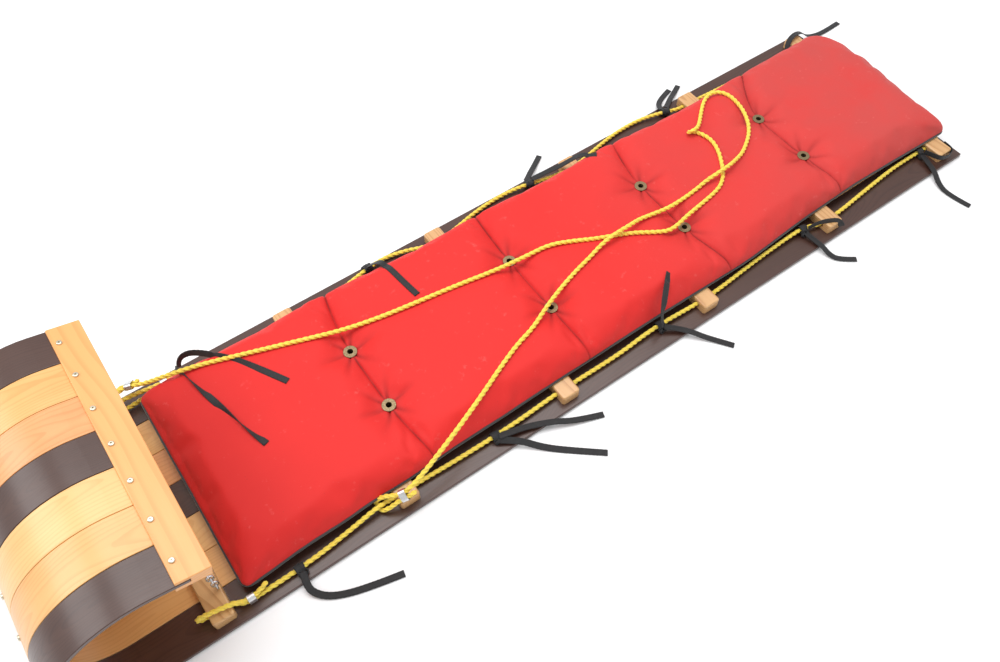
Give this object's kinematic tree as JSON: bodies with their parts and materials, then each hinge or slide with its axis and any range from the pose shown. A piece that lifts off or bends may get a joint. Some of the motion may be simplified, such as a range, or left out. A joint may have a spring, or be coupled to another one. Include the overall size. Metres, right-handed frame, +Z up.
{
  "type": "wooden toboggan",
  "caption": "Long flat-bottomed toboggan of screwed wooden slats curled up at the head, with crossbars, chains, a tied seat cushion, a side rope and a pull rope.",
  "frame": {"origin": "on the ground under the middle of the deck's length and width", "axes": "+X runs along the deck from the curled head to the tail, +Z is up, +Y is across the deck"},
  "size_m": [1.9064, 0.5822, 0.2419],
  "materials": {
    "wood_dark": "semi-gloss lacquer",
    "wood_light": "semi-gloss lacquer",
    "wood_bar": "satin lacquer",
    "wood_head": "semi-gloss lacquer",
    "screw_steel": "plated",
    "zinc": "zinc plated",
    "brass_eyelet": "polished",
    "red_canvas": "coated canvas",
    "black_piping": "woven",
    "yellow_rope": "twisted synthetic fibre",
    "black_tape": "woven tape"
  },
  "bodies": {
    "root": {"slat_1": "wood_dark", "slat_2": "wood_light", "slat_3": "wood_light", "slat_4": "wood_dark", "slat_5": "wood_light", "slat_6": "wood_light", "slat_7": "wood_dark", "crossbar_1": "wood_bar", "crossbar_2": "wood_bar", "crossbar_3": "wood_bar", "crossbar_4": "wood_bar", "crossbar_5": "wood_bar", "crossbar_6": "wood_bar", "nose_crossbar": "wood_bar", "head_bar": "wood_head", "head_screws": "screw_steel", "nose_screws": "screw_steel", "bed_screws_1": "screw_steel", "bed_screws_2": "screw_steel", "bed_screws_3": "screw_steel", "bed_screws_4": "screw_steel", "bed_screws_5": "screw_steel", "bed_screws_6": "screw_steel", "near_chain": "zinc", "far_chain": "zinc", "chain_screw_eyes": "zinc", "cushion": "red_canvas", "cushion_piping": "black_piping", "grommets": "brass_eyelet", "side_rope": "yellow_rope", "side_rope_ferrules": "zinc", "pull_rope": "yellow_rope", "pull_rope_ferrules": "zinc", "near_tie_1": "black_tape", "near_tie_2": "black_tape", "near_tie_3": "black_tape", "near_tie_4": "black_tape", "near_tie_5": "black_tape", "far_tie_1": "black_tape", "far_tie_2": "black_tape", "far_tie_3": "black_tape", "far_tie_4": "black_tape", "far_tie_5": "black_tape"}
  },
  "joints": []
}
